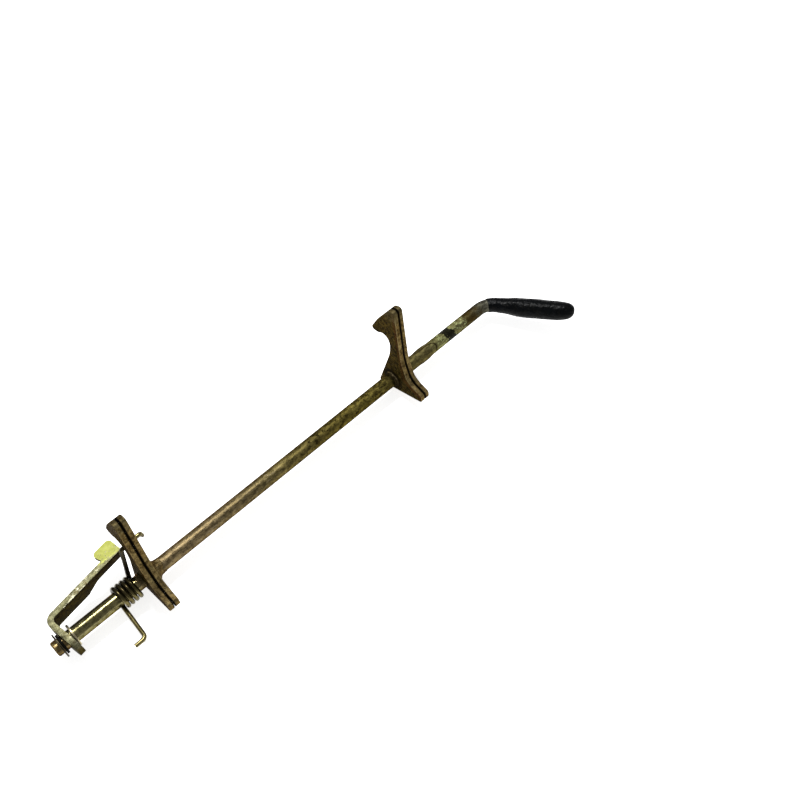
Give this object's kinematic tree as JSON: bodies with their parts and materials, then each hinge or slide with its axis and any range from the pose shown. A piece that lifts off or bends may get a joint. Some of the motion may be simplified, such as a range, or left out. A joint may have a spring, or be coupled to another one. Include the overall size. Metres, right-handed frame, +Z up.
{
  "type": "twin-hook latch lever shaft",
  "caption": "Bent steel rod lever with two double-plate latch hooks, a torsion spring, a loose crank arm with a tab, and a dipped vinyl grip.",
  "frame": {"origin": "centre of the bounding box's bottom face, in the pose lying on a table", "axes": "+X along the rod from the clip end towards the grip, +Y across the rod on the side of the hooks' beaks, +Z up"},
  "size_m": [0.333, 0.0708, 0.0676],
  "materials": {
    "rod_zinc": "aged yellow zinc plating, worn and speckled",
    "hook_zinc": "aged olive-brown zinc plating",
    "weld_zinc": "lumpy weld bead under worn plating",
    "grip_vinyl": "soft dipped vinyl, scuffed",
    "clip_steel": "dark phosphated spring steel",
    "washer_nylon": "black nylon",
    "washer_zinc": "bright worn zinc",
    "arm_zinc": "silvery-olive zinc, pitted, with a yellow-green tab",
    "spring_zinc": "yellow zinc plated spring wire"
  },
  "bodies": {
    "shaft": {"main_shaft": "rod_zinc", "left_hook_first_plate": "hook_zinc", "left_hook_second_plate": "hook_zinc", "right_hook_first_plate": "hook_zinc", "right_hook_second_plate": "hook_zinc", "left_hook_weld": "weld_zinc", "right_hook_weld": "weld_zinc", "vinyl_grip": "grip_vinyl", "retaining_clip": "clip_steel", "torsion_spring": "spring_zinc"},
    "washers": {"nylon_washer": "washer_nylon", "thrust_washer": "washer_zinc"},
    "arm": {"crank_arm": "arm_zinc"},
    "anchor_leg": {"spring_anchor_leg": "spring_zinc"}
  },
  "joints": [
    {"name": "arm_slide", "type": "slide", "parent": "shaft", "child": "washers", "axis": [1, 0, 0], "range_m": [0, 0.011]},
    {"name": "arm_pivot", "type": "hinge", "parent": "washers", "child": "arm", "pos_m": [-0.159, 0.01082, 0.01101], "axis": [1, 0, 0], "range_deg": [-120, 30]},
    {"name": "spring_windup", "type": "hinge", "parent": "shaft", "child": "anchor_leg", "pos_m": [-0.13056, 0.01082, 0.01101], "axis": [1, 0, 0], "range_deg": [-60, 0], "stiffness_Nm_per_rad": 1.9, "deforming": ["torsion_spring"]}
  ]
}
